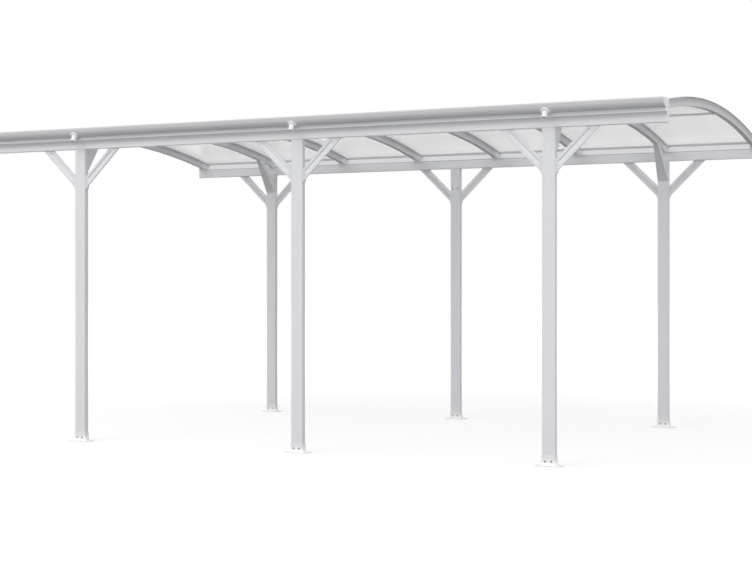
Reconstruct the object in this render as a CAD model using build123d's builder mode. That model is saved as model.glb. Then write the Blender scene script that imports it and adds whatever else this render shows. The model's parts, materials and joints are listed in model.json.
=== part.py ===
"""Carport with an arched, glazed roof on six posts and a gutter along each long side.

Millimetres. X runs along the carport, Y across it towards the back, Z up.
The origin lies on the ground at the middle of the plan.
"""

import os
from math import asin, cos, degrees, hypot, radians, sin, sqrt

from build123d import *

os.makedirs("parts", exist_ok=True)

# Plan and heights
bay_count = 7
rib_pitch = 710
post_row_half = 1432
beam_bottom = 2108
roof_radius = 7750

# Posts
post_width = 86
post_depth = 42
post_wall = 2.5
post_corner = 4

# Feet
flange_thickness = 5
flange_lug = 26
flange_corner = 10
flange_toe = 4
skirt_flare = 14
skirt_height = 42
skirt_shares = ((0, 1), (0.12, 0.6), (0.36, 0.26), (0.68, 0.07), (1, 0))
sleeve_wall = 3
sleeve_height = 60
post_clearance = 0.3
anchor_hole_diameter = 11

# Ribs
rib_width = 55
rib_depth = 50
rib_wall = 2.5
web_width = 34
flange_edge = 7
flare_height = 20
rib_bearing = 24
rib_packing = 10
rib_end_gap = 1

# Eave beams with their gutter trough
beam_width = 42
beam_height = 68
beam_wall = 2.5
beam_corner = 6
beam_end_margin = 10
face_band = 34
cove_radius = 30
wall_offset = 38
gutter_height = 144
trough_radius = 50
lip_rise = 6
lip_height = 11
lip_thickness = 5
end_plate_thickness = 3

# Roof glazing
panel_thickness = 6
panel_gap = 6
panel_overhang = 12
panel_edge_inset = 2
cover_width = 46
cover_thickness = 3
strip_width = 8
strip_height = 12
cap_inset = 92
cap_thickness = 3

# Ridge bar
ridge_width = 24
ridge_height = 12

# Braces
brace_drop = 281
brace_reach = 286
brace_head = 86
brace_depth = 20
brace_plate_share = 0.6
spine_low_share = 0.45
spine_high_share = 0.42
spine_crest_share = 0.3
spine_stop = 28
tab_thickness = 10
tab_depth = 26
tab_margin = 4
knee_foot_drop = 155
knee_run = 233
knee_depth = 65

# Drain spouts
spout_tilt = 28
spout_diameter = 36
spout_wall = 3
spout_reach = 99
spout_flange_diameter = 64
spout_flange_thickness = 6
spout_clearance = 0.3
drain_diameter = 30

# Derived places
rib_half_span = bay_count * rib_pitch / 2
rib_places = [index * rib_pitch - rib_half_span for index in range(bay_count + 1)]
post_places = {"left": rib_places[1], "middle": 0, "right": rib_places[-2]}
rows = {"front": -1, "back": 1}
beam_top = beam_bottom + beam_height
beam_half_length = rib_half_span + rib_width / 2 + beam_end_margin
bearing_y = post_row_half - rib_bearing
soffit_radius = roof_radius - rib_depth
roof_centre_z = beam_top + rib_packing - sqrt(soffit_radius**2 - bearing_y**2)
wall_y = post_row_half + wall_offset
post_centre_y = post_row_half - post_depth / 2
lip_offset = wall_offset + trough_radius
trough_centre = gutter_height - lip_rise
skin_outer = wall_offset + beam_wall / 2
trough_outer_radius = trough_radius + beam_wall / 2
roof_half_length = rib_half_span + rib_width / 2
panel_half_span = wall_y + panel_overhang


def arch_z(radius, y):
    """Height of a roof arc of this radius at a distance y from the middle."""
    return roof_centre_z + sqrt(radius**2 - y**2)


wall_top = arch_z(roof_radius, wall_y) - strip_height - beam_bottom


def eave_plane(side, start):
    """Section plane of an eave: x outward from the post face, y up from the beam's underside."""
    return Plane(
        origin=(side * start, side * post_row_half, beam_bottom),
        x_dir=(0, side, 0),
        z_dir=(side, 0, 0),
    )


def arch_profile(start, inner_radius, outer_radius, half_span):
    """Sketch of an arched band between two radii, with upright ends."""
    with BuildSketch(Plane.YZ.offset(start)) as profile:
        with BuildLine():
            outer_end = arch_z(outer_radius, half_span)
            inner_end = arch_z(inner_radius, half_span)
            ThreePointArc(
                (-half_span, outer_end),
                (0, arch_z(outer_radius, 0)),
                (half_span, outer_end),
            )
            Line((half_span, outer_end), (half_span, inner_end))
            ThreePointArc(
                (half_span, inner_end),
                (0, arch_z(inner_radius, 0)),
                (-half_span, inner_end),
            )
            Line((-half_span, inner_end), (-half_span, outer_end))
        make_face()
    return profile.sketch


def tilted_plane(x, angle):
    """Plane across an arch, through the roof's centre line and tilted to the front by the angle."""
    tilt = radians(angle)
    return Plane(origin=(x, 0, roof_centre_z), x_dir=(1, 0, 0), z_dir=(0, -cos(tilt), -sin(tilt)))


def roof_axis(x):
    """Centre line of the roof arcs, pointing so that a turn runs from front to back."""
    return Axis((x, 0, roof_centre_z), (-1, 0, 0))


def save(part, label):
    """Label a finished piece and write it as its own file."""
    part.label = label
    export_step(part, f"parts/{label}.step")


def make_foot(x, y):
    """Cast foot: anchor flange, flared skirt and a sleeve that takes the post."""
    sleeve_length = post_width + 2 * (post_clearance + sleeve_wall)
    sleeve_breadth = post_depth + 2 * (post_clearance + sleeve_wall)
    skirt_length = sleeve_length + 2 * skirt_flare
    skirt_breadth = sleeve_breadth + 2 * skirt_flare
    anchor_x = (skirt_length + flange_lug) / 2
    with BuildPart() as foot:
        with BuildSketch(Plane((x, y, 0))):
            RectangleRounded(
                skirt_length + 2 * flange_lug, skirt_breadth + 2 * flange_toe, flange_corner
            )
            with Locations((-anchor_x, 0), (anchor_x, 0)):
                Circle(anchor_hole_diameter / 2, mode=Mode.SUBTRACT)
        extrude(amount=flange_thickness)
        for height_share, flare_share in skirt_shares:
            flare = skirt_flare * flare_share
            with BuildSketch(Plane((x, y, flange_thickness + skirt_height * height_share))):
                RectangleRounded(
                    sleeve_length + 2 * flare,
                    sleeve_breadth + 2 * flare,
                    post_corner + sleeve_wall + flare / 2,
                )
        loft(ruled=True)
        with BuildSketch(Plane((x, y, flange_thickness + skirt_height))):
            RectangleRounded(sleeve_length, sleeve_breadth, post_corner + sleeve_wall)
        extrude(amount=sleeve_height - skirt_height)
        with BuildSketch(Plane((x, y, flange_thickness))):
            RectangleRounded(
                post_width + 2 * post_clearance,
                post_depth + 2 * post_clearance,
                post_corner + post_clearance,
            )
        extrude(amount=sleeve_height, mode=Mode.SUBTRACT)
    return foot.part


def make_post(x, y):
    """Rectangular tube from the foot's flange to the underside of the eave beam."""
    with BuildPart() as post:
        with BuildSketch(Plane((x, y, flange_thickness))):
            RectangleRounded(post_width, post_depth, post_corner)
            RectangleRounded(
                post_width - 2 * post_wall,
                post_depth - 2 * post_wall,
                post_corner - post_wall,
                mode=Mode.SUBTRACT,
            )
        extrude(amount=beam_bottom - flange_thickness)
    return post.part


def make_brace_pair(x, side):
    """Two slanting struts with a groove outside, a spine inside and an end tab on the post.

    They are cut to the post's sides and the beam's underside.
    """
    y = side * post_centre_y
    length = hypot(brace_reach, brace_drop)
    spine_length = length * (1 - brace_head / brace_reach / 2) - 2 * spine_stop
    end_height = brace_head * brace_drop / brace_reach
    half_breadth = brace_head * brace_drop / length / 2
    spine_low = half_breadth * spine_low_share
    spine_high = half_breadth * spine_high_share
    spine_crest = half_breadth * spine_crest_share
    outer = -side * brace_depth / 2
    inner = outer + side * brace_depth * brace_plate_share
    head_x = x + post_width / 2 + brace_reach - brace_head / 2
    section = Plane(
        origin=(head_x + brace_reach, y, beam_bottom + brace_drop),
        x_dir=(brace_drop, 0, -brace_reach),
        z_dir=(-brace_reach, 0, -brace_drop),
    )
    with BuildPart() as braces:
        with BuildSketch(section):
            with Locations((0, (outer + inner) / 2)):
                Rectangle(2 * half_breadth, brace_depth * brace_plate_share)
        extrude(amount=3 * length)
        with BuildSketch(Plane((x + post_width / 2 + brace_reach / 2, y, beam_bottom))):
            Rectangle(brace_reach, brace_depth)
        extrude(amount=-brace_drop, mode=Mode.INTERSECT)
        with BuildSketch(section.offset(length + spine_stop)):
            with BuildLine():
                Polyline((spine_low, inner), (-spine_high, inner), (-spine_crest, -outer), close=True)
            make_face()
        extrude(amount=spine_length)
        with BuildSketch(section.offset(length + spine_stop)):
            with BuildLine():
                Polyline((spine_low, outer), (-spine_high, outer), (-spine_crest, -inner), close=True)
            make_face()
        extrude(amount=spine_length, mode=Mode.SUBTRACT)
        with BuildSketch(Plane((x + post_width / 2, y, beam_bottom - brace_drop - tab_margin))):
            Rectangle(tab_thickness, tab_depth, align=(Align.MIN, Align.CENTER))
        extrude(amount=end_height + 2 * tab_margin)
        mirror(about=Plane.YZ.offset(x))
    return braces.part


def make_knee(x, side):
    """Tapered knee from a post's inner face up to the rib above it."""
    inner_y = post_row_half - post_depth
    foot_z = beam_bottom - knee_foot_drop
    head_y = inner_y - knee_run
    head_z = arch_z(soffit_radius, head_y)
    knee_rise = head_z - foot_z
    length = hypot(knee_rise, knee_run)
    heel_z = foot_z + knee_depth * length / knee_run
    back_y = head_y + knee_depth * length / knee_rise
    back_z = arch_z(soffit_radius, back_y)
    with BuildPart() as knee:
        with BuildSketch(Plane((x, 0, 0), x_dir=(0, side, 0), z_dir=(side, 0, 0))):
            with BuildLine():
                Polyline(
                    (inner_y, foot_z),
                    (inner_y, heel_z),
                    (back_y, back_z),
                    (head_y, head_z),
                    close=True,
                )
            make_face()
        extrude(amount=post_width / 2, both=True)
        with BuildSketch(Plane((x, 0, 0), x_dir=(1, 0, 0), z_dir=(0, -1, 0))):
            with BuildLine():
                Polyline(
                    (-post_width / 2, foot_z),
                    (post_width / 2, foot_z),
                    (web_width / 2, head_z),
                    (-web_width / 2, head_z),
                    close=True,
                )
            make_face()
        extrude(amount=post_row_half, both=True, mode=Mode.INTERSECT)
    return knee.part


def spout_planes(side):
    """Planes on the axis of a trough, one at each post, facing down and outward along the spouts."""
    tilt = radians(spout_tilt)
    return [
        Plane(
            origin=(x, side * wall_y, beam_bottom + trough_centre),
            x_dir=(1, 0, 0),
            z_dir=(0, side * sin(tilt), -cos(tilt)),
        )
        for x in post_places.values()
    ]


def make_eave(side):
    """Extruded eave: a box beam, a coved skin outside it and a quarter-round gutter trough."""
    cove_start = -beam_wall / 2
    cove_end = cove_start + cove_radius
    cove_top = face_band + cove_radius
    with BuildPart() as eave:
        with BuildSketch(eave_plane(side, -beam_half_length)):
            with Locations((-beam_width / 2, beam_height / 2)):
                RectangleRounded(beam_width, beam_height, beam_corner)
                RectangleRounded(
                    beam_width - 2 * beam_wall,
                    beam_height - 2 * beam_wall,
                    beam_corner - beam_wall,
                    mode=Mode.SUBTRACT,
                )
            with BuildLine() as skin:
                CenterArc((cove_end, face_band), cove_radius, 180, -90)
                Line((cove_end, cove_top), (wall_offset, cove_top))
                Line((wall_offset, cove_top), (wall_offset, wall_top))
            trace(skin.line, line_width=beam_wall)
            with BuildLine() as trough:
                CenterArc((wall_offset, trough_centre), trough_radius, -90, 90)
            trace(trough.line, line_width=beam_wall)
            with Locations((lip_offset, gutter_height - lip_height / 2)):
                Rectangle(lip_thickness, lip_height)
        extrude(amount=2 * beam_half_length)
        with BuildSketch(*spout_planes(side)):
            Circle(drain_diameter / 2)
        extrude(amount=trough_outer_radius, mode=Mode.SUBTRACT)
    return eave.part


def make_end_plates(end):
    """Pair of flat plates that close both eaves at one end of the carport."""
    cove_inner = cove_radius - beam_wall / 2
    cove_top = face_band + cove_inner
    lip_outer = wall_offset + trough_outer_radius
    floor = trough_centre - sqrt(trough_outer_radius**2 - (beam_wall / 2) ** 2)
    with BuildPart() as plates:
        for side in rows.values():
            start = beam_half_length if end == side else -beam_half_length - end_plate_thickness
            with BuildSketch(eave_plane(side, start)):
                with BuildLine():
                    Polyline(
                        (lip_outer, trough_centre),
                        (lip_outer, gutter_height),
                        (-beam_width, gutter_height),
                        (-beam_width, 0),
                        (0, 0),
                        (0, face_band),
                    )
                    CenterArc((cove_inner, face_band), cove_inner, 180, -90)
                    Polyline((cove_inner, cove_top), (skin_outer, cove_top), (skin_outer, floor))
                    ThreePointArc(
                        (skin_outer, floor),
                        (
                            wall_offset + trough_outer_radius * sqrt(0.5),
                            trough_centre - trough_outer_radius * sqrt(0.5),
                        ),
                        (lip_outer, trough_centre),
                    )
                make_face()
            extrude(amount=end_plate_thickness)
    return plates.part


def make_rib(x):
    """Arched hollow bar with a flared top flange, on a flat shoe over each eave beam."""
    end_y = wall_y - beam_wall / 2 - rib_end_gap
    reach_angle = degrees(asin(end_y / soffit_radius))
    hollow_angle = degrees(asin(bearing_y / roof_radius))
    half_web = web_width / 2
    half_flange = rib_width / 2
    flange_low = roof_radius - flange_edge
    flare_low = flange_low - flare_height
    with BuildPart() as rib:
        with BuildSketch(tilted_plane(x, reach_angle)):
            with BuildLine():
                TangentArc((half_web, flare_low), (half_flange, flange_low), tangent=(0, 1))
                Polyline(
                    (half_flange, flange_low),
                    (half_flange, roof_radius),
                    (-half_flange, roof_radius),
                    (-half_flange, flange_low),
                )
                TangentArc((-half_web, flare_low), (-half_flange, flange_low), tangent=(0, 1))
                Polyline(
                    (-half_web, flare_low),
                    (-half_web, soffit_radius),
                    (half_web, soffit_radius),
                    (half_web, flare_low),
                )
            make_face()
        revolve(axis=roof_axis(x), revolution_arc=2 * reach_angle)
        with BuildSketch(Plane((x, 0, beam_top))):
            Rectangle(rib_width, 2 * end_y)
        extrude(amount=arch_z(roof_radius, 0) - beam_top, mode=Mode.INTERSECT)
        with BuildSketch(tilted_plane(x, hollow_angle)):
            with Locations((0, (soffit_radius + roof_radius) / 2)):
                Rectangle(web_width - 2 * rib_wall, rib_depth - 2 * rib_wall)
        revolve(axis=roof_axis(x), revolution_arc=2 * hollow_angle, mode=Mode.SUBTRACT)
        with BuildSketch(Plane((x, 0, beam_top))):
            with Locations((0, (bearing_y + end_y) / 2), (0, -(bearing_y + end_y) / 2)):
                Rectangle(web_width, end_y - bearing_y)
        extrude(amount=rib_packing)
    return rib.part


def make_panel(bay):
    """Arched glazing sheet over one bay, lying on the two ribs beside it."""
    first = rib_places[bay] + panel_gap / 2
    last = rib_places[bay + 1] - panel_gap / 2
    if bay == 0:
        first = panel_edge_inset - roof_half_length
    if bay == bay_count - 1:
        last = roof_half_length - panel_edge_inset
    with BuildPart() as panel:
        sheet = arch_profile(first, roof_radius, roof_radius + panel_thickness, panel_half_span)
        extrude(sheet, amount=last - first)
    return panel.part


def make_covers():
    """Arched strips that clamp the sheets' edges down on the ribs."""
    under = roof_radius + panel_thickness
    with BuildPart() as covers:
        for x in rib_places:
            strip = arch_profile(x - cover_width / 2, under, under + cover_thickness, panel_half_span)
            extrude(strip, amount=cover_width)
    return covers.part


def make_closing_strips():
    """Strips between the top of each eave wall and the underside of the sheets."""
    near = wall_offset - beam_wall / 2
    far = near + strip_width
    with BuildPart() as strips:
        for side in rows.values():
            with BuildSketch(eave_plane(side, -roof_half_length)):
                with BuildLine():
                    Polyline(
                        (near, wall_top),
                        (far, wall_top),
                        (far, arch_z(roof_radius, post_row_half + far) - beam_bottom),
                        (near, arch_z(roof_radius, post_row_half + near) - beam_bottom),
                        close=True,
                    )
                make_face()
            extrude(amount=2 * roof_half_length)
    return strips.part


def make_ridge_bar():
    """Slim bar under the crown of all the ribs."""
    top = arch_z(soffit_radius, ridge_width / 2)
    with BuildPart() as bar:
        with BuildSketch(Plane.YZ.offset(-roof_half_length)):
            with Locations((0, top - ridge_height / 2)):
                Rectangle(ridge_width, ridge_height)
        extrude(amount=2 * roof_half_length)
    return bar.part


def make_eave_caps():
    """Strips on the cover strips along both eaves, over the lower ends of the sheets."""
    under = roof_radius + panel_thickness + cover_thickness
    with BuildPart() as caps:
        band = arch_profile(-roof_half_length, under, under + cap_thickness, panel_half_span)
        extrude(band, amount=2 * roof_half_length)
        with BuildSketch(Plane.XY.offset(beam_top)):
            Rectangle(2 * roof_half_length, 2 * (panel_half_span - cap_inset))
        extrude(amount=roof_radius, mode=Mode.SUBTRACT)
    return caps.part


def make_spouts(side):
    """Drain tubes slanting outward under one gutter trough, each with a saddle collar."""
    planes = spout_planes(side)
    seat_radius = trough_outer_radius + spout_clearance
    with BuildPart() as spouts:
        with BuildSketch(*planes):
            Circle(spout_flange_diameter / 2)
        extrude(amount=seat_radius + spout_flange_thickness)
        with BuildSketch(eave_plane(side, -beam_half_length)):
            with Locations((wall_offset, trough_centre)):
                Circle(seat_radius + spout_flange_thickness)
        extrude(amount=2 * beam_half_length, mode=Mode.INTERSECT)
        with BuildSketch(*planes):
            Circle(spout_diameter / 2)
        extrude(amount=spout_reach)
        with BuildSketch(*planes):
            Circle(spout_diameter / 2 - spout_wall)
        extrude(amount=spout_reach, mode=Mode.SUBTRACT)
        with BuildSketch(eave_plane(side, -beam_half_length)):
            with Locations((wall_offset, trough_centre)):
                Circle(seat_radius)
            with Locations((skin_outer + spout_clearance, trough_centre)):
                Rectangle(
                    spout_flange_diameter,
                    2 * trough_centre,
                    align=(Align.MAX, Align.MAX),
                )
        extrude(amount=2 * beam_half_length, mode=Mode.SUBTRACT)
    return spouts.part


for place, x in post_places.items():
    for row, side in rows.items():
        y = side * post_centre_y
        save(make_foot(x, y), f"{row}_{place}_foot")
        save(make_post(x, y), f"{row}_{place}_post")
        save(make_brace_pair(x, side), f"{row}_{place}_braces")
        if x != 0:
            save(make_knee(x, side), f"{row}_{place}_knee")

for row, side in rows.items():
    save(make_eave(side), f"{row}_eave_gutter")
    save(make_spouts(side), f"{row}_drain_spouts")

save(make_end_plates(-1), "left_end_plates")
save(make_end_plates(1), "right_end_plates")

for index, x in enumerate(rib_places):
    save(make_rib(x), f"rib_{index + 1}")

for bay in range(bay_count):
    save(make_panel(bay), f"roof_panel_{bay + 1}")

save(make_covers(), "rib_cover_strips")
save(make_closing_strips(), "eave_closing_strips")
save(make_eave_caps(), "eave_cap_strips")
save(make_ridge_bar(), "ridge_bar")
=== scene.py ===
"""Looks of the carport: finishes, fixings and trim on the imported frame, with a studio around it.

Lengths are in metres and in the frame's own axes: X along the carport, Y across it to the back, Z up.
"""
import json
import math

import bpy
import numpy as np
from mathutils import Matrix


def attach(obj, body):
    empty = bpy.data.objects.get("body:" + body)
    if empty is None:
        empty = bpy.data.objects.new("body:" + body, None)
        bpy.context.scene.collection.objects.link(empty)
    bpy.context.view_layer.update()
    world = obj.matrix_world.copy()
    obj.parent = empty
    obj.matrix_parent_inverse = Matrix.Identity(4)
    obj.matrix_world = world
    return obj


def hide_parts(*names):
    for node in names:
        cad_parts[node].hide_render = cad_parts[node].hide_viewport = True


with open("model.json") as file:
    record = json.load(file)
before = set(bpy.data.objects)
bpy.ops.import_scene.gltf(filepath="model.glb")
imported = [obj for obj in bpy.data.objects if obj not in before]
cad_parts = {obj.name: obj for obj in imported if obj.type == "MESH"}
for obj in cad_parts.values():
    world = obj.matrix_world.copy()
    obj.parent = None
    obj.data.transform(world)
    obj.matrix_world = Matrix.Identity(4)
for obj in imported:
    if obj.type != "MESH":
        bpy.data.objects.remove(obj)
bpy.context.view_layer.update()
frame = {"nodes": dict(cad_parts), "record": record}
nodes = frame["nodes"]

# Camera, solved from the six posts in the photograph
PHOTO_WIDTH = 752.0
FOCAL_PIXELS = 1500.48
HORIZON_SHIFT_PIXELS = 2.86
CAMERA_PLACE = (4.779, -10.335, 1.126)
CAMERA_YAW = 0.4398
CAMERA_REACH = 200.0
SENSOR_WIDTH = 36.0

# Places on the frame
BOTH_SIDES = (-1.0, 1.0)
POST_X = np.array((-1.775, 0.0, 1.775))
POST_Y = 1.411
POST_INNER_FACE = 1.390
RIB_X = -2.485 + 0.71 * np.arange(8)
RIB_HALF_FLANGE = 0.0275
ROOF_RADIUS = 7.750
SOFFIT_RADIUS = 7.700
ROOF_CENTRE_Z = -5.3842
BEAM_TOP = 2.176
TROUGH_Y = 1.470
TROUGH_Z = 2.246
TROUGH_SKIN = 0.05155
SPOUT_TILT = math.radians(28.0)
SPOUT_REACH = 0.099
SPOUT_TO_WALL = 0.0225

# Fixings
SCREW_DIAMETER = 0.0115
SCREW_RISE = 0.0042
SCREW_SEGMENTS = 18

# Edges that turn by more than this angle, in radians, stay sharp
SHARP_ANGLE = 0.6

# Base colours of the finishes: the light and the dark end of each cloudy tone
TONES = {
    "post_coat": ((0.825, 0.834, 0.858, 1.0), (0.785, 0.794, 0.818, 1.0)),
    "foot_casting": ((0.97, 0.972, 0.98, 1.0), (0.95, 0.952, 0.96, 1.0)),
    "eave_coat": ((0.885, 0.892, 0.915, 1.0), (0.845, 0.852, 0.875, 1.0)),
    "rib_coat": ((0.795, 0.802, 0.822, 1.0), (0.755, 0.762, 0.782, 1.0)),
    "ridge_coat": ((0.58, 0.585, 0.60, 1.0), (0.54, 0.545, 0.56, 1.0)),
    # Partly painted light: the flashing is a lighter copy of the eave coat, for the light that falls on it
    # through the sheets
    "flashing_painted_light_coat": ((0.93, 0.935, 0.95, 1.0), (0.90, 0.905, 0.92, 1.0)),
    "spout_white": ((0.94, 0.94, 0.95, 1.0), (0.90, 0.90, 0.91, 1.0)),
    "strip_rubber": ((0.82, 0.825, 0.84, 1.0), (0.76, 0.765, 0.78, 1.0)),
    "seal_rubber": ((0.65, 0.655, 0.668, 1.0), (0.60, 0.605, 0.618, 1.0)),
    "bead_rubber": ((0.46, 0.465, 0.47, 1.0), (0.40, 0.405, 0.41, 1.0)),
    "screw_steel": ((0.30, 0.30, 0.31, 1.0), (0.16, 0.16, 0.165, 1.0)),
    "milky_sheet": ((0.67, 0.675, 0.69, 1.0), (0.61, 0.615, 0.63, 1.0)),
}
TONES["gutter_painted_shade_coat"] = TONES["eave_coat"]
WHITE = (1.0, 1.0, 1.0, 1.0)
DUST_COLOUR = (0.52, 0.50, 0.46, 1.0)
LINE_COLOUR = (0.62, 0.625, 0.64, 1.0)
FLUTE_COLOUR = (0.57, 0.575, 0.59, 1.0)
# Painted shade: the darker colour of the gutters' troughs and lips above their beams
TROUGH_PAINTED_SHADE_COLOUR = (0.70, 0.705, 0.725, 1.0)
# Painted light on the feet: their near-white cast tone holds near the floor and turns to this darker colour
# higher up
SKIRT_ABOVE_PAINTED_LIGHT_COLOUR = (0.83, 0.835, 0.85, 1.0)

# Plain values of the coats. The squeeze of the drawn lines is small along a profile and large across it.
# Upper is the height where another colour starts, the height where it is full, and that colour: painted shade
# by height, darker above, on the gutters' troughs, and on the feet, whose low part is painted light near the
# floor.
POST_LOOK = {
    "grain": 900.0,
    "squeeze": (420.0, 420.0, 0.7),
    "gloss": 0.22,
    "rough": 0.42,
    "coat": 0.06,
    "rise": 0.35,
    "dust": 0.12,
}
# The feet are painted lighter near the floor than higher up, as painted light
FOOT_PAINTED_LIGHT_LOOK = {
    "grain": 420.0,
    "squeeze": (30.0, 30.0, 30.0),
    "gloss": 0.40,
    "rough": 0.42,
    "coat": 0.05,
    "rise": 0.04,
    "dust": 0.05,
    "upper": (0.012, 0.056, SKIRT_ABOVE_PAINTED_LIGHT_COLOUR),
}
EAVE_LOOK = {
    "grain": 900.0,
    "squeeze": (0.7, 420.0, 420.0),
    "gloss": 0.50,
    "rough": 0.36,
    "coat": 0.15,
    "rise": 0.10,
    "dust": 0.10,
}
# The gutter's upper part, trough and lip, is painted darker than its beam, as painted shade
GUTTER_PAINTED_SHADE_LOOK = dict(EAVE_LOOK, upper=(2.170, 2.178, TROUGH_PAINTED_SHADE_COLOUR))
RIB_LOOK = {
    "grain": 900.0,
    "squeeze": (420.0, 0.7, 60.0),
    "gloss": 0.10,
    "rough": 0.55,
    "coat": 0.0,
    "rise": 0.10,
    "dust": 0.10,
}

# Studio: levels are low and high, and distances on the floor are near and far
DOME_LEVELS = (0.45, 0.78)
BRIGHT_SIDE = (-0.05, -0.97, 0.24)
BRIGHT_SIDE_LEVEL = 0.62
FLOOR_HALF = 60.0
FLOOR_Z = -0.0004
FLOOR_DULL = (0.25, 0.25, 0.25, 1.0)
FLOOR_SHADED = (0.34, 0.34, 0.34, 1.0)
GLOW_DISTANCES = (3.0, 9.0)
GLOW_LEVELS = (0.66, 0.80)

# Lamps: name, place, target, width, height and power in watts
LAMPS = (
    ("key_lamp", (-4.5, -9.0, 10.0), (0.0, -0.5, 1.2), 8.0, 6.0, 430.0),
    ("fill_lamp", (9.5, -5.0, 2.0), (0.5, 0.0, 1.5), 5.0, 3.0, 115.0),
)


# Meshes


def put_mesh(name, points, faces, material):
    """One piece from arrays of points and corner numbers, smooth except over sharp edges."""
    mesh = bpy.data.meshes.new(name)
    mesh.from_pydata(points.tolist(), [], faces)
    mesh.polygons.foreach_set("use_smooth", np.ones(len(mesh.polygons), dtype=bool))
    mesh.set_sharp_from_angle(angle=SHARP_ANGLE)
    mesh.materials.append(material)
    mesh.update()
    piece = bpy.data.objects.new(name, mesh)
    bpy.context.scene.collection.objects.link(piece)
    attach(piece, "root")
    return piece


def round_angles(segments):
    """Even angles once round a circle, without the last one, which is the first again."""
    return np.arange(segments) * 2.0 * math.pi / segments


def grid_quads(rows, columns, close_rows=False):
    """Corner numbers of the quads between neighbouring rows and columns; the columns run round and close."""
    last = rows if close_rows else rows - 1
    row = np.arange(last)[:, None]
    column = np.arange(columns)[None, :]
    row_after = (row + 1) % rows
    column_after = (column + 1) % columns
    quads = np.stack(
        [
            row * columns + column,
            row * columns + column_after,
            row_after * columns + column_after,
            row_after * columns + column,
        ],
        axis=-1,
    )
    return quads.reshape(-1, 4)


def copy_faces(faces, points_each, copies):
    """The same corner numbers once for each copy, shifted by the number of points in a copy."""
    shift = points_each * np.arange(copies)
    return (faces[None, :, :] + shift[:, None, None]).reshape(-1, faces.shape[1]).tolist()


def turned_copies(radius, height, hex_share, segments, places, axes):
    """Turned heads at several places.

    A profile of radius and height turns about each axis. Where hex_share is one, the radius at each
    angle is the distance to the side of a hexagon: the flat's distance over the cosine of the angle from
    the middle of that flat. Where it is zero, the ring is a circle. The two ends close on a point.
    """
    nearly_upright = 0.9
    angle = round_angles(segments)
    from_flat = np.mod(angle, math.pi / 3.0) - math.pi / 6.0
    hexagon = 1.0 / np.cos(from_flat)
    rings = radius[:, None] * (1.0 + hex_share[:, None] * (hexagon[None, :] - 1.0))
    across = rings * np.cos(angle)[None, :]
    along = rings * np.sin(angle)[None, :]
    up = np.broadcast_to(height[:, None], rings.shape)
    local = np.stack([across, along, up], axis=-1).reshape(-1, 3)
    poles = np.array([[0.0, 0.0, height[0]], [0.0, 0.0, height[-1]]])
    first_pole = len(local)
    local = np.concatenate([local, poles])
    column = np.arange(segments)
    column_after = (column + 1) % segments
    last_ring = (len(radius) - 1) * segments
    start_pole = np.full(segments, first_pole)
    start_fan = np.stack([column_after, column, start_pole], axis=-1)
    end_fan = np.stack([last_ring + column, last_ring + column_after, start_pole + 1], axis=-1)
    axes = axes / np.linalg.norm(axes, axis=1)[:, None]
    leaning = np.abs(axes[:, 2:3]) < nearly_upright
    helper = np.where(leaning, [[0.0, 0.0, 1.0]], [[1.0, 0.0, 0.0]])
    side = np.cross(helper, axes)
    side = side / np.linalg.norm(side, axis=1)[:, None]
    third = np.cross(axes, side)
    points = (
        places[:, None, :]
        + local[None, :, 0:1] * side[:, None, :]
        + local[None, :, 1:2] * third[:, None, :]
        + local[None, :, 2:3] * axes[:, None, :]
    ).reshape(-1, 3)
    faces = []
    for part in (grid_quads(len(radius), segments), start_fan, end_fan):
        faces += copy_faces(part, len(local), len(places))
    return points, faces


def screw_head(diameter, rise):
    """Profile of a domed head with a six-sided socket, from its hidden underside to the socket's floor.

    The dome falls as a quarter of a cosine from the socket's rim to the edge.
    """
    radius = diameter / 2.0
    socket, hex_share = 0.46 * radius, 0.9
    underside, edge, socket_floor = -0.3 * rise, 0.1 * rise, 0.3 * rise
    share = np.linspace(1.0, 0.52, 7)
    dome = rise * (0.42 + 0.58 * np.cos(share * math.pi / 2.0))
    base = [0.5 * radius, 0.98 * radius, radius]
    rings = np.concatenate([base, radius * share, [socket, 0.94 * socket]])
    levels = np.concatenate([[underside, underside, edge], dome, [dome[-1], socket_floor]])
    shape = np.concatenate([np.zeros(len(rings) - 2), [hex_share, hex_share]])
    return rings, levels, shape


def put_screws(name, places, axes, material):
    """Screws of one size at several places, each square to its own axis, as one piece."""
    profile = screw_head(SCREW_DIAMETER, SCREW_RISE)
    points, faces = turned_copies(*profile, SCREW_SEGMENTS, places, axes)
    return put_mesh(name, points, faces, material)


def foot_screws(material):
    """Two screws on the outer and two on the inner face of each foot, square to the hollow skirt."""
    aside, out, level, upturn = 0.0205, 0.0260, 0.030, 0.198
    x, row, face, side = np.meshgrid(POST_X, BOTH_SIDES, BOTH_SIDES, (-aside, aside), indexing="ij")
    x, row, face, side = (part.ravel() for part in (x, row, face, side))
    places = np.stack([x + side, row * POST_Y + face * out, np.full(len(x), level)], axis=-1)
    axes = np.stack([np.zeros(len(x)), face, np.full(len(x), upturn)], axis=-1)
    return put_screws("foot_screws", places, axes, material)


def post_screws(material):
    """Two screws on the inner face of each middle post, level with the braces."""
    aside, level = 0.024, 1.941
    row, side = np.meshgrid(BOTH_SIDES, (-aside, aside), indexing="ij")
    row, side = row.ravel(), side.ravel()
    places = np.stack([side, row * POST_INNER_FACE, np.full(len(row), level)], axis=-1)
    axes = np.stack([np.zeros(len(row)), -row, np.zeros(len(row))], axis=-1)
    return put_screws("post_screws", places, axes, material)


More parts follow.
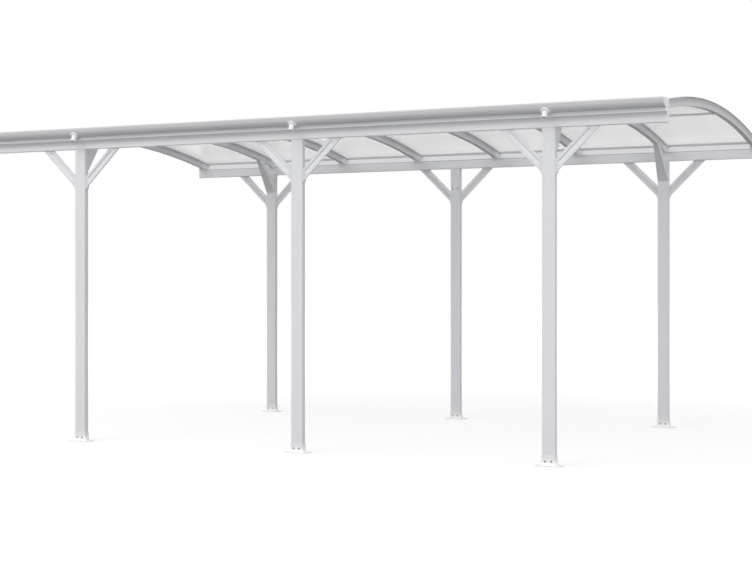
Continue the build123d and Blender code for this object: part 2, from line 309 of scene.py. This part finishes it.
def drain_spouts(row_name, row, material):
    """Three drain spouts of one row, each a slanting tube with a saddle collar under the gutter trough.

    A closed profile turns about the tube's axis, which passes through the trough's axis. Its radius is a
    base radius plus a share of the way out to the collar's rim, which is round but flat where it meets the
    eave wall. On the tube the height is plain. On the collar it is a share of the way from one round
    surface to another, both about the trough's axis: each lies the root of its radius squared less the
    distance beside that axis squared below it. All is then tilted outward about the trough's axis.
    """
    segments = 56
    tube, bore, rim = 0.0180, 0.0150, 0.0320
    seat, collar = 0.0005, 0.0060
    flat_rim, round_rim = 0.86, 0.14
    fillet_out = np.array((0.0, 0.0008, 0.0025))
    turn = np.linspace(0.0, math.pi, 9)
    edge = np.linspace(-math.pi / 2.0, math.pi / 2.0, 7)
    ends, fillet, edges = len(turn), len(fillet_out), len(edge)
    lip = 0.5 * (tube - bore)
    end_ring = 0.5 * (tube + bore) - lip * np.cos(turn)
    end_level = lip - lip * np.sin(turn) - SPOUT_REACH
    base = np.concatenate([[bore], end_ring, tube + fillet_out, np.full(edges, tube)])
    level = np.concatenate([[0.0], end_level, np.zeros(fillet + edges)])
    out = np.concatenate([np.zeros(1 + ends + fillet), flat_rim + round_rim * np.cos(edge)])
    share = np.concatenate([[1.0], np.zeros(ends + fillet), 0.5 + 0.5 * np.sin(edge)])
    drop = np.concatenate([np.zeros(1 + ends), fillet_out[::-1], np.zeros(edges)])
    on_collar = np.concatenate([[1.0], np.zeros(ends), np.ones(fillet + edges)])
    angle = round_angles(segments)
    to_wall = np.maximum(-row * np.sin(angle), 1e-6)
    rim_radius = np.minimum(rim, SPOUT_TO_WALL / to_wall)
    radius = base[:, None] + out[:, None] * (rim_radius[None, :] - tube)
    across = radius * np.cos(angle)[None, :]
    along = radius * np.sin(angle)[None, :]
    upper = -np.sqrt((TROUGH_SKIN - seat) ** 2 - along**2)
    under = -np.sqrt((TROUGH_SKIN + collar) ** 2 - along**2)
    saddle = under + share[:, None] * (upper - under) - drop[:, None]
    up = np.where(on_collar[:, None] > 0.5, saddle, level[:, None])
    outward = along * math.cos(SPOUT_TILT) - row * up * math.sin(SPOUT_TILT)
    height = row * along * math.sin(SPOUT_TILT) + up * math.cos(SPOUT_TILT)
    local = np.stack([across, outward, height], axis=-1).reshape(-1, 3)
    count = len(POST_X)
    centre = np.stack([POST_X, np.full(count, row * TROUGH_Y), np.full(count, TROUGH_Z)], axis=-1)
    points = (centre[:, None, :] + local[None, :, :]).reshape(-1, 3)
    faces = copy_faces(grid_quads(len(base), segments, close_rows=True), len(local), count)
    piece = put_mesh(f"{row_name}_spouts", points, faces, material)
    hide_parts(f"{row_name}_drain_spouts")
    return piece


def glazing_beads(material):
    """Rubber beads in the corners between the rib flanges and the sheets.

    A round profile is carried along an arc about the roof's axis, beside each edge of each rib.
    """
    steps, segments = 72, 10
    bead, sunk, beside, end_y = 0.0026, 0.0016, 0.0010, 1.425
    reach = math.asin(end_y / ROOF_RADIUS)
    swing = np.linspace(-reach, reach, steps)
    angle = round_angles(segments)
    radius = ROOF_RADIUS - sunk + bead * np.sin(angle)
    edge = np.concatenate([RIB_X - RIB_HALF_FLANGE - beside, RIB_X + RIB_HALF_FLANGE + beside])
    x, y, z = np.broadcast_arrays(
        edge[:, None, None] + bead * np.cos(angle),
        np.sin(swing)[:, None] * radius[None, :],
        ROOF_CENTRE_Z + np.cos(swing)[:, None] * radius[None, :],
    )
    points = np.stack([x, y, z], axis=-1).reshape(-1, 3)
    each = steps * segments
    ring = np.arange(segments)[None, :]
    faces = []
    for part in (grid_quads(steps, segments)[:, ::-1], ring, each - 1 - ring):
        faces += copy_faces(part, each, len(edge))
    return put_mesh("glazing_beads", points, faces, material)


def put_on_both_eaves(name, x, y, z, quads, caps, material):
    """Copies of one closed form along the back eave and their mirror images along the front, as one piece.

    The coordinates are those of the back eave, and their first axis counts the copies. The corner numbers
    are those of one copy. In their given order they face outward at the front, so the back has them reversed.
    """
    x, y, z = np.broadcast_arrays(x, y, z)
    points = []
    faces = []
    for index, row in enumerate(BOTH_SIDES):
        points.append(np.stack([x, row * y, z], axis=-1).reshape(-1, 3))
        turned = slice(None, None, -1 if row > 0.0 else 1)
        for part in (quads[:, turned], caps[:, turned]):
            faces += copy_faces(part + index * x.size, x[0].size, len(x))
    return put_mesh(name, np.concatenate(points), faces, material)


def eave_edge_strips(material):
    """Slim clear strips over the lower edges of the sheets, one along each eave.

    A closed profile is carried straight along each eave in stations. It runs out along an arc about the
    roof's axis and back along a second one just above, with half-round edges between the two.
    """
    above_ribs, half = 0.0105, 0.0015
    inner_y, outer_y, half_length = 1.4700, 1.4805, 2.5120
    radius = ROOF_RADIUS + above_ribs
    inner_swing, outer_swing = math.asin(inner_y / radius), math.asin(outer_y / radius)
    across = np.linspace(inner_swing, outer_swing, 4)
    turn = np.linspace(0.0, math.pi, 5)[1:-1]
    outer_edge = outer_swing + half / radius * np.sin(turn)
    inner_edge = inner_swing - half / radius * np.sin(turn)
    swing = np.concatenate([across, outer_edge, across[::-1], inner_edge])
    flat = np.full(len(across), half)
    lift = np.concatenate([-flat, -half * np.cos(turn), flat, half * np.cos(turn)])
    x = np.linspace(-half_length, half_length, 15)[None, :, None]
    y = (radius + lift) * np.sin(swing)
    z = ROOF_CENTRE_Z + (radius + lift) * np.cos(swing)
    quads = grid_quads(x.size, len(swing))[:, ::-1]
    ring = np.arange(len(swing))
    caps = np.stack([ring, x.size * len(swing) - 1 - ring])
    piece = put_on_both_eaves("eave_edge_strips", x, y, z, quads, caps, material)
    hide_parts("eave_cap_strips")
    return piece


def carried_between_ribs(name, ring_y, ring_z, material):
    """A closed profile carried straight from rib to rib along both eaves, with flat ends.

    The profile is given for the back eave, turning from up to outward.
    """
    gap = 0.001
    ring = np.arange(len(ring_y))
    first, last = RIB_X[:-1] + RIB_HALF_FLANGE + gap, RIB_X[1:] - RIB_HALF_FLANGE - gap
    x = np.stack([first, last], axis=-1)[:, :, None]
    quads = grid_quads(2, len(ring))
    caps = np.stack([ring[::-1], len(ring) + ring])
    return put_on_both_eaves(name, x, ring_y, ring_z, quads, caps, material)


def eave_fillets(material):
    """Sloping flashings inside both eaves, between the ribs, from the beam's top up to the sheets.

    The profile rises along a line that sags a little as a parabola, turns a half round at the top, and
    comes back a plate's thickness below with a half round foot.
    """
    foot_y, foot_z, head_y, head_z = 1.3985, 2.1782, 1.4665, 2.2232
    sag, half, steps = 0.0025, 0.0011, 10
    slope = math.atan2(head_z - foot_z, head_y - foot_y)
    way = np.linspace(0.0, 1.0, steps)
    turn = np.linspace(0.0, math.pi, 5)[1:-1]
    sine, cosine = half * np.sin(turn), half * np.cos(turn)
    flat = np.full(steps, half)
    line_y = foot_y + way * (head_y - foot_y)
    line_z = foot_z + way * (head_z - foot_z) - 4.0 * sag * way * (1.0 - way)
    along = np.concatenate([np.zeros(steps), sine, np.zeros(steps), -sine])
    over = np.concatenate([flat, cosine, -flat, -cosine])
    head, foot = np.full(len(turn), steps - 1), np.full(len(turn), 0)
    station = np.concatenate([np.arange(steps), head, np.arange(steps)[::-1], foot])
    ring_y = line_y[station] + along * math.cos(slope) - over * math.sin(slope)
    ring_z = line_z[station] + along * math.sin(slope) + over * math.cos(slope)
    return carried_between_ribs("eave_fillets", ring_y, ring_z, material)


def eave_seals(material):
    """Rubber seals that hang from the sheets inside both eaves, between the ribs.

    The profile is a tall ring: one round of an angle, its width that of the cosine flattened by a root, and
    its height stretched the same way.
    """
    middle_y, top, bottom, half_width = 1.4030, 2.2374, 2.2192, 0.0022
    segments, flatness = 28, 0.35
    angle = round_angles(segments)
    flat_sine = np.sign(np.sin(angle)) * np.abs(np.sin(angle)) ** flatness
    flat_cosine = np.sign(np.cos(angle)) * np.abs(np.cos(angle)) ** flatness
    ring_y = middle_y - half_width * flat_cosine
    ring_z = 0.5 * (top + bottom) + 0.5 * (top - bottom) * flat_sine
    return carried_between_ribs("eave_seals", ring_y, ring_z, material)


def flashing_shade_beads(material):
    """Thin round dark beads along the foot of the flashings inside both eaves, between the ribs: painted
    shade, a dark rubber bead put where the shade gap under each flashing's foot falls.
    """
    middle_y, middle_z, bead, segments = 1.3968, 2.1785, 0.0032, 16
    angle = round_angles(segments)
    ring_y = middle_y - bead * np.cos(angle)
    ring_z = middle_z + bead * np.sin(angle)
    return carried_between_ribs("flashing_shade_beads", ring_y, ring_z, material)


def rib_shoes(material):
    """Moulded shoes that carry the ends of the ribs down on the eave beams.

    Each is a row of upright rectangles with round corners. Their upper edge follows an arc about the roof's
    axis, inside the rib's flange. Their lower edge leaves the rib's underside along a quarter of an ellipse,
    comes down on the beam's inner face and goes on along the beam's top. Their width grows with a smooth
    step from that of the rib's web to that of its flange.
    """
    start_y, face_y, end_y, foot_z = 1.3520, 1.3897, 1.4580, 2.1520
    web_half, flange_half, corner = 0.0175, 0.0273, 0.0030
    skin, into_flange, step = 0.0005, 0.0060, 0.0004
    turn = np.linspace(0.0, math.pi / 2.0, 12)
    on_beam = np.linspace(face_y + step, end_y, 5)
    soffit_z = ROOF_CENTRE_Z + math.sqrt(SOFFIT_RADIUS**2 - start_y**2) - skin
    y = np.concatenate([start_y + (face_y - start_y) * np.sin(turn), on_beam])
    curve = foot_z + (soffit_z - foot_z) * np.cos(turn)
    low = np.concatenate([curve, np.full(len(on_beam), BEAM_TOP - skin)])
    high = ROOF_CENTRE_Z + np.sqrt((ROOF_RADIUS - into_flange) ** 2 - y**2)
    way = np.clip((y - start_y) / (face_y - start_y), 0.0, 1.0)
    half = web_half + (flange_half - web_half) * way**2 * (3.0 - 2.0 * way)
    arc = np.linspace(0.0, math.pi / 2.0, 5)
    quarter = np.repeat(np.arange(4), len(arc))
    angle = quarter * math.pi / 2.0 + np.tile(arc, 4)
    side = np.array((1.0, -1.0, -1.0, 1.0))[quarter]
    end = np.array((1.0, 1.0, -1.0, -1.0))[quarter]
    across = side * (half[:, None] - corner) + corner * np.cos(angle)
    middle, rise = 0.5 * (high + low), 0.5 * (high - low)
    z = middle[:, None] + end * (rise[:, None] - corner) + corner * np.sin(angle)
    x = RIB_X[:, None, None] + across
    ring = np.arange(len(angle))
    quads = grid_quads(len(y), len(angle))
    caps = np.stack([ring[::-1], across.size - len(angle) + ring])
    return put_on_both_eaves("rib_shoes", x, y[:, None], z, quads, caps, material)


# Shader helpers


def put(tree, kind, values=None, **settings):
    """A node with its settings and the values of its named inputs."""
    node = tree.nodes.new(kind)
    for name, value in settings.items():
        setattr(node, name, value)
    for name, value in (values or {}).items():
        node.inputs[name].default_value = value
    return node


def wire(tree, node, sources):
    """Links sources to the inputs of a node, by their names or numbers; returns the node."""
    for name, source in sources.items():
        tree.links.new(source, node.inputs[name])
    return node


def map_range(tree, source, to_low, to_high, from_low=0.0, from_high=1.0):
    """A value carried from one range to another and held at its ends."""
    limits = {"From Min": from_low, "From Max": from_high, "To Min": to_low, "To Max": to_high}
    node = put(tree, "ShaderNodeMapRange", limits)
    return wire(tree, node, {"Value": source}).outputs["Result"]


def combine(tree, operation, first, second, clamp=False):
    """Two values brought together by a math node."""
    node = put(tree, "ShaderNodeMath", operation=operation, use_clamp=clamp)
    return wire(tree, node, {0: first, 1: second}).outputs["Value"]


def split(tree, vector):
    """The three parts of a vector, by name."""
    return wire(tree, put(tree, "ShaderNodeSeparateXYZ"), {"Vector": vector}).outputs


def mix_colour(tree, factor, first, second):
    """Colour between two others; each argument is a socket or a plain value."""
    node = put(tree, "ShaderNodeMix", data_type="RGBA")
    for index, source in ((0, factor), (6, first), (7, second)):
        if isinstance(source, bpy.types.NodeSocket):
            tree.links.new(source, node.inputs[index])
        else:
            node.inputs[index].default_value = source
    return node.outputs[2]


def cloudy_tone(tree, name, cloud):
    """Colour between the dark and the light tone of a finish, by a cloud value."""
    light, dark = TONES[name]
    return mix_colour(tree, cloud, dark, light)


def bump(tree, height, strength, distance):
    """A bump node that reads a height; its own normal input is left open."""
    node = put(tree, "ShaderNodeBump", {"Strength": strength, "Distance": distance})
    return wire(tree, node, {"Height": height})


def new_group(name, inputs, outputs):
    """A shader node group with named sockets; returns its tree, its input sockets and its output node."""
    tree = bpy.data.node_groups.new(name, "ShaderNodeTree")
    for socket, kind, value in inputs:
        made = tree.interface.new_socket(name=socket, in_out="INPUT", socket_type=kind)
        if value is not None:
            made.default_value = value
    for socket, kind in outputs:
        tree.interface.new_socket(name=socket, in_out="OUTPUT", socket_type=kind)
    return tree, tree.nodes.new("NodeGroupInput").outputs, tree.nodes.new("NodeGroupOutput")


def make_coat_grain():
    """Fine orange-peel height and broad cloudy tone of a sprayed coat."""
    tree, given, out = new_group(
        "coat_grain",
        [
            ("Vector", "NodeSocketVector", None),
            ("Grain Scale", "NodeSocketFloat", 900.0),
            ("Cloud Scale", "NodeSocketFloat", 3.0),
        ],
        [("Height", "NodeSocketFloat"), ("Cloud", "NodeSocketFloat")],
    )
    fine = put(tree, "ShaderNodeTexNoise", {"Detail": 2.0, "Roughness": 0.45})
    broad = put(tree, "ShaderNodeTexNoise", {"Detail": 3.0, "Roughness": 0.55})
    wire(tree, fine, {"Vector": given["Vector"], "Scale": given["Grain Scale"]})
    wire(tree, broad, {"Vector": given["Vector"], "Scale": given["Cloud Scale"]})
    wire(tree, out, {"Height": fine.outputs["Fac"], "Cloud": broad.outputs["Fac"]})
    return tree


def make_drawn_lines():
    """Faint lines left along a drawn profile; the vector is squeezed along the drawn direction first."""
    tree, given, out = new_group(
        "drawn_lines",
        [("Vector", "NodeSocketVector", None), ("Squeeze", "NodeSocketVector", (1.0, 1.0, 1.0))],
        [("Height", "NodeSocketFloat"), ("Tone", "NodeSocketFloat")],
    )
    squeeze = put(tree, "ShaderNodeVectorMath", operation="MULTIPLY")
    wire(tree, squeeze, {0: given["Vector"], 1: given["Squeeze"]})
    fine = put(tree, "ShaderNodeTexNoise", {"Scale": 1.0, "Detail": 3.0, "Roughness": 0.6})
    wire(tree, fine, {"Vector": squeeze.outputs["Vector"]})
    tone = map_range(tree, fine.outputs["Fac"], 0.0, 1.0, from_low=0.35, from_high=0.65)
    wire(tree, out, {"Height": fine.outputs["Fac"], "Tone": tone})
    return tree


def make_settled_dust():
    """Thin dust that rises from the ground in patches and lies on faces that look up."""
    tree, given, out = new_group(
        "settled_dust",
        [
            ("Vector", "NodeSocketVector", None),
            ("Colour", "NodeSocketColor", (0.8, 0.8, 0.8, 1.0)),
            ("Dust Colour", "NodeSocketColor", DUST_COLOUR),
            ("Rise", "NodeSocketFloat", 0.3),
            ("Amount", "NodeSocketFloat", 0.2),
        ],
        [("Colour", "NodeSocketColor"), ("Mask", "NodeSocketFloat")],
    )
    downward = {"To Min": 1.0, "To Max": 0.0}
    low = put(tree, "ShaderNodeMapRange", downward, interpolation_type="SMOOTHSTEP")
    wire(tree, low, {"Value": split(tree, given["Vector"])["Z"], "From Max": given["Rise"]})
    facing = split(tree, put(tree, "ShaderNodeNewGeometry").outputs["Normal"])
    lying = map_range(tree, facing["Z"], 0.0, 0.55, from_low=0.5)
    patch = put(tree, "ShaderNodeTexNoise", {"Scale": 11.0, "Detail": 5.0, "Roughness": 0.65})
    wire(tree, patch, {"Vector": given["Vector"]})
    patches = map_range(tree, patch.outputs["Fac"], 0.0, 1.0, from_low=0.3, from_high=0.7)
    either = combine(tree, "MAXIMUM", low.outputs["Result"], lying)
    broken = combine(tree, "MULTIPLY", either, patches)
    mask = combine(tree, "MULTIPLY", broken, given["Amount"], clamp=True)
    colour = mix_colour(tree, mask, given["Colour"], given["Dust Colour"])
    wire(tree, out, {"Colour": colour, "Mask": mask})
    return tree


def place_group(tree, group, values, vector):
    """A group placed in a material with its own values, reading the given coordinates."""
    node = put(tree, "ShaderNodeGroup", values, node_tree=group)
    return wire(tree, node, {"Vector": vector})


def new_material(name):
    """A material, its tree, its Principled shader and the object's own coordinates."""
    material = bpy.data.materials.new(name)
    material.use_nodes = True
    tree = material.node_tree
    place = put(tree, "ShaderNodeTexCoord").outputs["Object"]
    return material, tree, tree.nodes["Principled BSDF"], place


# Finishes


def coated_metal(name, groups, look):
    """Coated profile: cloudy tone between two colours, drawn lines, dust, and a grain bump.

    look holds the coat's plain values: the scale of the grain, the squeeze of the drawn lines, gloss,
    roughness, weight of the clear coat, rise and amount of the dust, and if need be an upper colour, which
    paints shade by height: the coat turns darker above a given height.
    """
    line_share, dust_roughness = 0.10, 0.45
    material, tree, shader, place = new_material(name)
    shader.inputs["IOR"].default_value = 1.45
    shader.inputs["Specular IOR Level"].default_value = look["gloss"]
    shader.inputs["Coat Roughness"].default_value = 0.25
    scales = {"Grain Scale": look["grain"], "Cloud Scale": 2.2}
    grain = place_group(tree, groups["grain"], scales, place)
    lines = place_group(tree, groups["lines"], {"Squeeze": look["squeeze"]}, place)
    dust = place_group(tree, groups["dust"], {"Rise": look["rise"], "Amount": look["dust"]}, place)
    tone = cloudy_tone(tree, name, grain.outputs["Cloud"])
    # Painted light and shade by height: above a given height the coat turns to another, darker colour
    if "upper" in look:
        start, full, painted_shade_colour = look["upper"]
        heights = {"From Min": start, "From Max": full}
        above = put(tree, "ShaderNodeMapRange", heights, interpolation_type="SMOOTHSTEP")
        wire(tree, above, {"Value": split(tree, place)["Z"]})
        tone = mix_colour(tree, above.outputs["Result"], tone, painted_shade_colour)
    lined = map_range(tree, lines.outputs["Tone"], 0.0, line_share)
    wire(tree, dust, {"Colour": mix_colour(tree, lined, tone, LINE_COLOUR)})
    rough = map_range(tree, grain.outputs["Cloud"], look["rough"] - 0.05, look["rough"] + 0.07)
    dusty = put(tree, "ShaderNodeMath", operation="MULTIPLY_ADD")
    dusty.inputs[1].default_value = dust_roughness
    wire(tree, dusty, {0: dust.outputs["Mask"], 2: rough})
    line_bump = bump(tree, lines.outputs["Height"], strength=0.10, distance=0.0004)
    grain_bump = bump(tree, grain.outputs["Height"], strength=0.12, distance=0.0003)
    wire(tree, grain_bump, {"Normal": line_bump.outputs["Normal"]})
    ends = {
        "Base Color": dust.outputs["Colour"],
        "Roughness": dusty.outputs["Value"],
        "Coat Weight": map_range(tree, dust.outputs["Mask"], look["coat"], 0.0),
        "Normal": grain_bump.outputs["Normal"],
    }
    wire(tree, shader, ends)
    return material


def moulded_plastic(name, groups, roughness, dust_amount):
    """Moulded white plastic or grey rubber: cloudy tone, fine skin grain and a little dust."""
    material, tree, shader, place = new_material(name)
    grain = place_group(tree, groups["grain"], {"Grain Scale": 1400.0, "Cloud Scale": 20.0}, place)
    dust = place_group(tree, groups["dust"], {"Rise": 0.2, "Amount": dust_amount}, place)
    wire(tree, dust, {"Colour": cloudy_tone(tree, name, grain.outputs["Cloud"])})
    skin = bump(tree, grain.outputs["Height"], strength=0.08, distance=0.0002)
    ends = {
        "Base Color": dust.outputs["Colour"],
        "Roughness": map_range(tree, grain.outputs["Cloud"], roughness - 0.04, roughness + 0.06),
        "Normal": skin.outputs["Normal"],
    }
    wire(tree, shader, ends)
    return material


def dulled_steel(name, groups):
    """Dulled steel of the screws: cloudy tone and a fine grain."""
    material, tree, shader, place = new_material(name)
    shader.inputs["Metallic"].default_value = 1.0
    grain = place_group(tree, groups["grain"], {"Grain Scale": 2500.0, "Cloud Scale": 160.0}, place)
    skin = bump(tree, grain.outputs["Height"], strength=0.1, distance=0.0001)
    ends = {
        "Base Color": cloudy_tone(tree, name, grain.outputs["Cloud"]),
        "Roughness": map_range(tree, grain.outputs["Cloud"], 0.32, 0.48),
        "Normal": skin.outputs["Normal"],
    }
    wire(tree, shader, ends)
    return material


def roof_sheet(name, groups):
    """Milky roof sheet: light passes through it, with faint flutes along the arch and a little dust.

    It is denser where it is seen at a slant.
    """
    flute_scale, flute_share = 31.4, 0.08
    material, tree, shader, place = new_material(name)
    shader.inputs["Transmission Weight"].default_value = 0.92
    shader.inputs["IOR"].default_value = 1.12
    slant = put(tree, "ShaderNodeLayerWeight", {"Blend": 0.5})
    grain = place_group(tree, groups["grain"], {"Grain Scale": 300.0, "Cloud Scale": 1.6}, place)
    wave = {"Scale": flute_scale, "Distortion": 0.0}
    flutes = put(tree, "ShaderNodeTexWave", wave, bands_direction="X")
    wire(tree, flutes, {"Vector": place})
    tone = cloudy_tone(tree, name, grain.outputs["Cloud"])
    faint = map_range(tree, flutes.outputs["Fac"], 0.0, flute_share)
    dust = place_group(tree, groups["dust"], {"Rise": 0.1, "Amount": 0.10}, place)
    wire(tree, dust, {"Colour": mix_colour(tree, faint, tone, FLUTE_COLOUR)})
    ridges = bump(tree, flutes.outputs["Fac"], strength=0.05, distance=0.0005)
    ends = {
        "Base Color": dust.outputs["Colour"],
        "Alpha": map_range(tree, slant.outputs["Facing"], 0.40, 0.90, from_low=0.74, from_high=0.92),
        "Roughness": map_range(tree, grain.outputs["Cloud"], 0.12, 0.20),
        "Normal": ridges.outputs["Normal"],
    }
    wire(tree, shader, ends)
    return material


# Studio


def seen_directly(tree):
    """One for rays from the camera and for those reflected or let through, zero for light that scatters."""
    path = put(tree, "ShaderNodeLightPath").outputs
    mirrored = combine(tree, "MAXIMUM", path["Is Glossy Ray"], path["Is Transmission Ray"])
    return combine(tree, "MAXIMUM", path["Is Camera Ray"], mirrored)


def add_world():
    """White backdrop where it is seen; where it lights, a dome that is brighter overhead and in front."""
    world = bpy.data.worlds.new("studio")
    bpy.context.scene.world = world
    world.use_nodes = True
    tree = world.node_tree
    direction = put(tree, "ShaderNodeTexCoord").outputs["Generated"]
    level = map_range(tree, split(tree, direction)["Z"], *DOME_LEVELS)
    facing = put(tree, "ShaderNodeVectorMath", operation="DOT_PRODUCT")
    facing.inputs[1].default_value = BRIGHT_SIDE
    wire(tree, facing, {0: direction})
    bright_side = map_range(tree, facing.outputs["Value"], 0.0, BRIGHT_SIDE_LEVEL)
    dome = tree.nodes["Background"]
    dome.inputs["Color"].default_value = WHITE
    wire(tree, dome, {"Strength": combine(tree, "ADD", level, bright_side)})
    backdrop = put(tree, "ShaderNodeBackground", {"Color": WHITE, "Strength": 1.0})
    mix = put(tree, "ShaderNodeMixShader")
    shaders = {1: dome.outputs["Background"], 2: backdrop.outputs["Background"]}
    wire(tree, mix, {"Fac": seen_directly(tree), **shaders})
    wire(tree, tree.nodes["World Output"], {"Surface": mix.outputs["Shader"]})


def floor_white():
    """White where it is seen, with the shadow kept and a glow that grows away from the middle; else dull."""
    material, tree, shader, place = new_material("floor_white")
    tree.nodes.remove(shader)
    dull = put(tree, "ShaderNodeBsdfDiffuse", {"Color": FLOOR_DULL})
    shaded = put(tree, "ShaderNodeBsdfDiffuse", {"Color": FLOOR_SHADED})
    glow = put(tree, "ShaderNodeEmission", {"Color": WHITE})
    away = wire(tree, put(tree, "ShaderNodeVectorMath", operation="LENGTH"), {0: place})
    strength = map_range(tree, away.outputs["Value"], *GLOW_LEVELS, *GLOW_DISTANCES)
    wire(tree, glow, {"Strength": strength})
    white = put(tree, "ShaderNodeAddShader")
    wire(tree, white, {0: shaded.outputs["BSDF"], 1: glow.outputs["Emission"]})
    mix = put(tree, "ShaderNodeMixShader")
    shaders = {1: dull.outputs["BSDF"], 2: white.outputs["Shader"]}
    wire(tree, mix, {"Fac": seen_directly(tree), **shaders})
    wire(tree, tree.nodes["Material Output"], {"Surface": mix.outputs["Shader"]})
    return material


def add_floor():
    """Wide flat floor just under the feet."""
    low, high = -FLOOR_HALF, FLOOR_HALF
    corners = [(low, low, FLOOR_Z), (high, low, FLOOR_Z), (high, high, FLOOR_Z), (low, high, FLOOR_Z)]
    mesh = bpy.data.meshes.new("studio_floor")
    mesh.from_pydata(corners, [], [(0, 1, 2, 3)])
    mesh.materials.append(floor_white())
    floor = bpy.data.objects.new("studio_floor", mesh)
    bpy.context.scene.collection.objects.link(floor)


def add_lamp(name, place, target, width, height, power):
    """Large soft rectangular lamp that looks from its place to a target."""
    data = bpy.data.lights.new(name, "AREA")
    data.shape = "RECTANGLE"
    data.size = width
    data.size_y = height
    data.energy = power
    lamp = bpy.data.objects.new(name, data)
    aim = np.array(target) - np.array(place)
    yaw = math.atan2(-aim[0], aim[1])
    pitch = math.atan2(aim[2], math.hypot(aim[0], aim[1])) + math.pi / 2.0
    lamp.location = place
    lamp.rotation_euler = (pitch, 0.0, yaw)
    bpy.context.scene.collection.objects.link(lamp)


def add_camera():
    """Level camera whose lens and small rise follow the photograph."""
    data = bpy.data.cameras.new("photo_camera")
    data.sensor_width = SENSOR_WIDTH
    data.lens = FOCAL_PIXELS / PHOTO_WIDTH * SENSOR_WIDTH
    data.shift_y = HORIZON_SHIFT_PIXELS / PHOTO_WIDTH
    data.clip_end = CAMERA_REACH
    camera = bpy.data.objects.new("photo_camera", data)
    camera.location = CAMERA_PLACE
    camera.rotation_euler = (math.pi / 2.0, 0.0, CAMERA_YAW)
    bpy.context.scene.collection.objects.link(camera)
    bpy.context.scene.camera = camera


bpy.context.scene.view_settings.view_transform = "Standard"
groups = {"grain": make_coat_grain(), "lines": make_drawn_lines(), "dust": make_settled_dust()}

# The finish of each material slot in the record
finishes = {
    "frame": coated_metal("post_coat", groups, POST_LOOK),
    "feet": coated_metal("foot_casting", groups, FOOT_PAINTED_LIGHT_LOOK),
    "gutter": coated_metal("eave_coat", groups, EAVE_LOOK),
    "ribs": coated_metal("rib_coat", groups, RIB_LOOK),
    "spouts": moulded_plastic("spout_white", groups, roughness=0.18, dust_amount=0.05),
    "seals": moulded_plastic("strip_rubber", groups, roughness=0.55, dust_amount=0.15),
    "glazing": roof_sheet("milky_sheet", groups),
}
for subpart in frame["record"]["subparts"]:
    node = nodes[subpart["node"]]
    node.data.materials.clear()
    node.data.materials.append(finishes[subpart["material_slot"]])

# Nodes with a tone of their own: the upper part of each gutter, with its trough and lip, is painted darker
# than the beam as painted shade, and the ridge bar is grey
gutter_painted_shade_coat = coated_metal("gutter_painted_shade_coat", groups, GUTTER_PAINTED_SHADE_LOOK)
nodes["front_eave_gutter"].data.materials[0] = gutter_painted_shade_coat
nodes["back_eave_gutter"].data.materials[0] = gutter_painted_shade_coat
nodes["ridge_bar"].data.materials[0] = coated_metal("ridge_coat", groups, RIB_LOOK)

steel = dulled_steel("screw_steel", groups)
# The flashings get a lighter copy of the eave coat, partly painted light for the light through the sheets
flashing_painted_light_coat = coated_metal("flashing_painted_light_coat", groups, EAVE_LOOK)
seal_rubber = moulded_plastic("seal_rubber", groups, roughness=0.55, dust_amount=0.15)
# This grey rubber serves the glazing beads, and on the flashing beads it is painted shade
bead_rubber = moulded_plastic("bead_rubber", groups, roughness=0.6, dust_amount=0.1)
foot_screws(steel)
post_screws(steel)
drain_spouts("front", -1.0, finishes["spouts"])
drain_spouts("back", 1.0, finishes["spouts"])
glazing_beads(bead_rubber)
eave_edge_strips(finishes["glazing"])
eave_fillets(flashing_painted_light_coat)
eave_seals(seal_rubber)
# Painted shade: dark beads where the shade gap under the flashings' foot falls
flashing_shade_beads(bead_rubber)
rib_shoes(finishes["gutter"])

add_world()
add_floor()
for lamp_values in LAMPS:
    add_lamp(*lamp_values)
add_camera()
